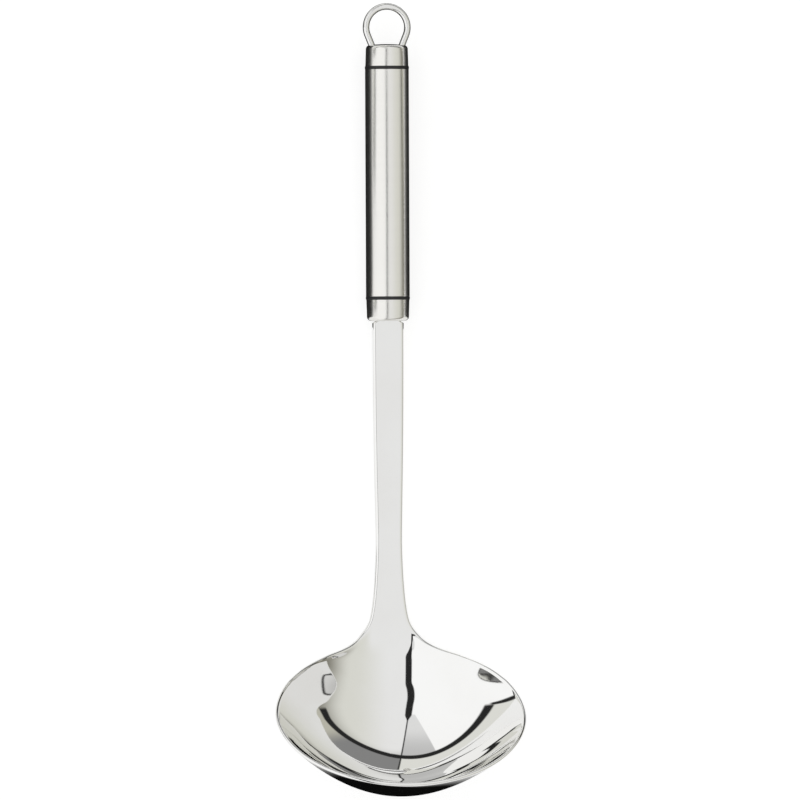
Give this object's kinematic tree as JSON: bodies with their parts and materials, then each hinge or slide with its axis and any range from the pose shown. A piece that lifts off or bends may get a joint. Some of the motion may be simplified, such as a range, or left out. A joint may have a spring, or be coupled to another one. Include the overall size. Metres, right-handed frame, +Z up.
{
  "type": "sauce ladle",
  "caption": "Stainless steel ladle with a wide oval bowl tilted to a flat polished shaft, a round satin tube handle with black rings, and a bent wire hanging loop.",
  "frame": {"origin": "on the table, under the middle of the ladle's length and on its mirror plane", "axes": "+Y along the ladle from the bowl to the hanging loop, +Z up, X across. The ladle lies on the bowl's back and the lower ring, so the handle rises by 2.2 degrees towards the loop"},
  "size_m": [0.0924, 0.2906, 0.0456],
  "materials": {
    "polished_steel": "mirror polished",
    "satin_steel": "satin, fine marks round the handle",
    "wire_steel": "polished",
    "pin_steel": "plain",
    "black_rubber": "matt",
    "plug_plastic": "moulded"
  },
  "bodies": {
    "root": {"bowl_and_shaft": "polished_steel", "lower_ferrule": "satin_steel", "lower_seal_ring": "black_rubber", "lower_plug": "plug_plastic", "tang_pin": "pin_steel", "handle_tube": "satin_steel", "upper_seal_ring": "black_rubber", "upper_plug": "plug_plastic", "end_cap": "satin_steel", "hanging_loop": "wire_steel"}
  },
  "joints": []
}
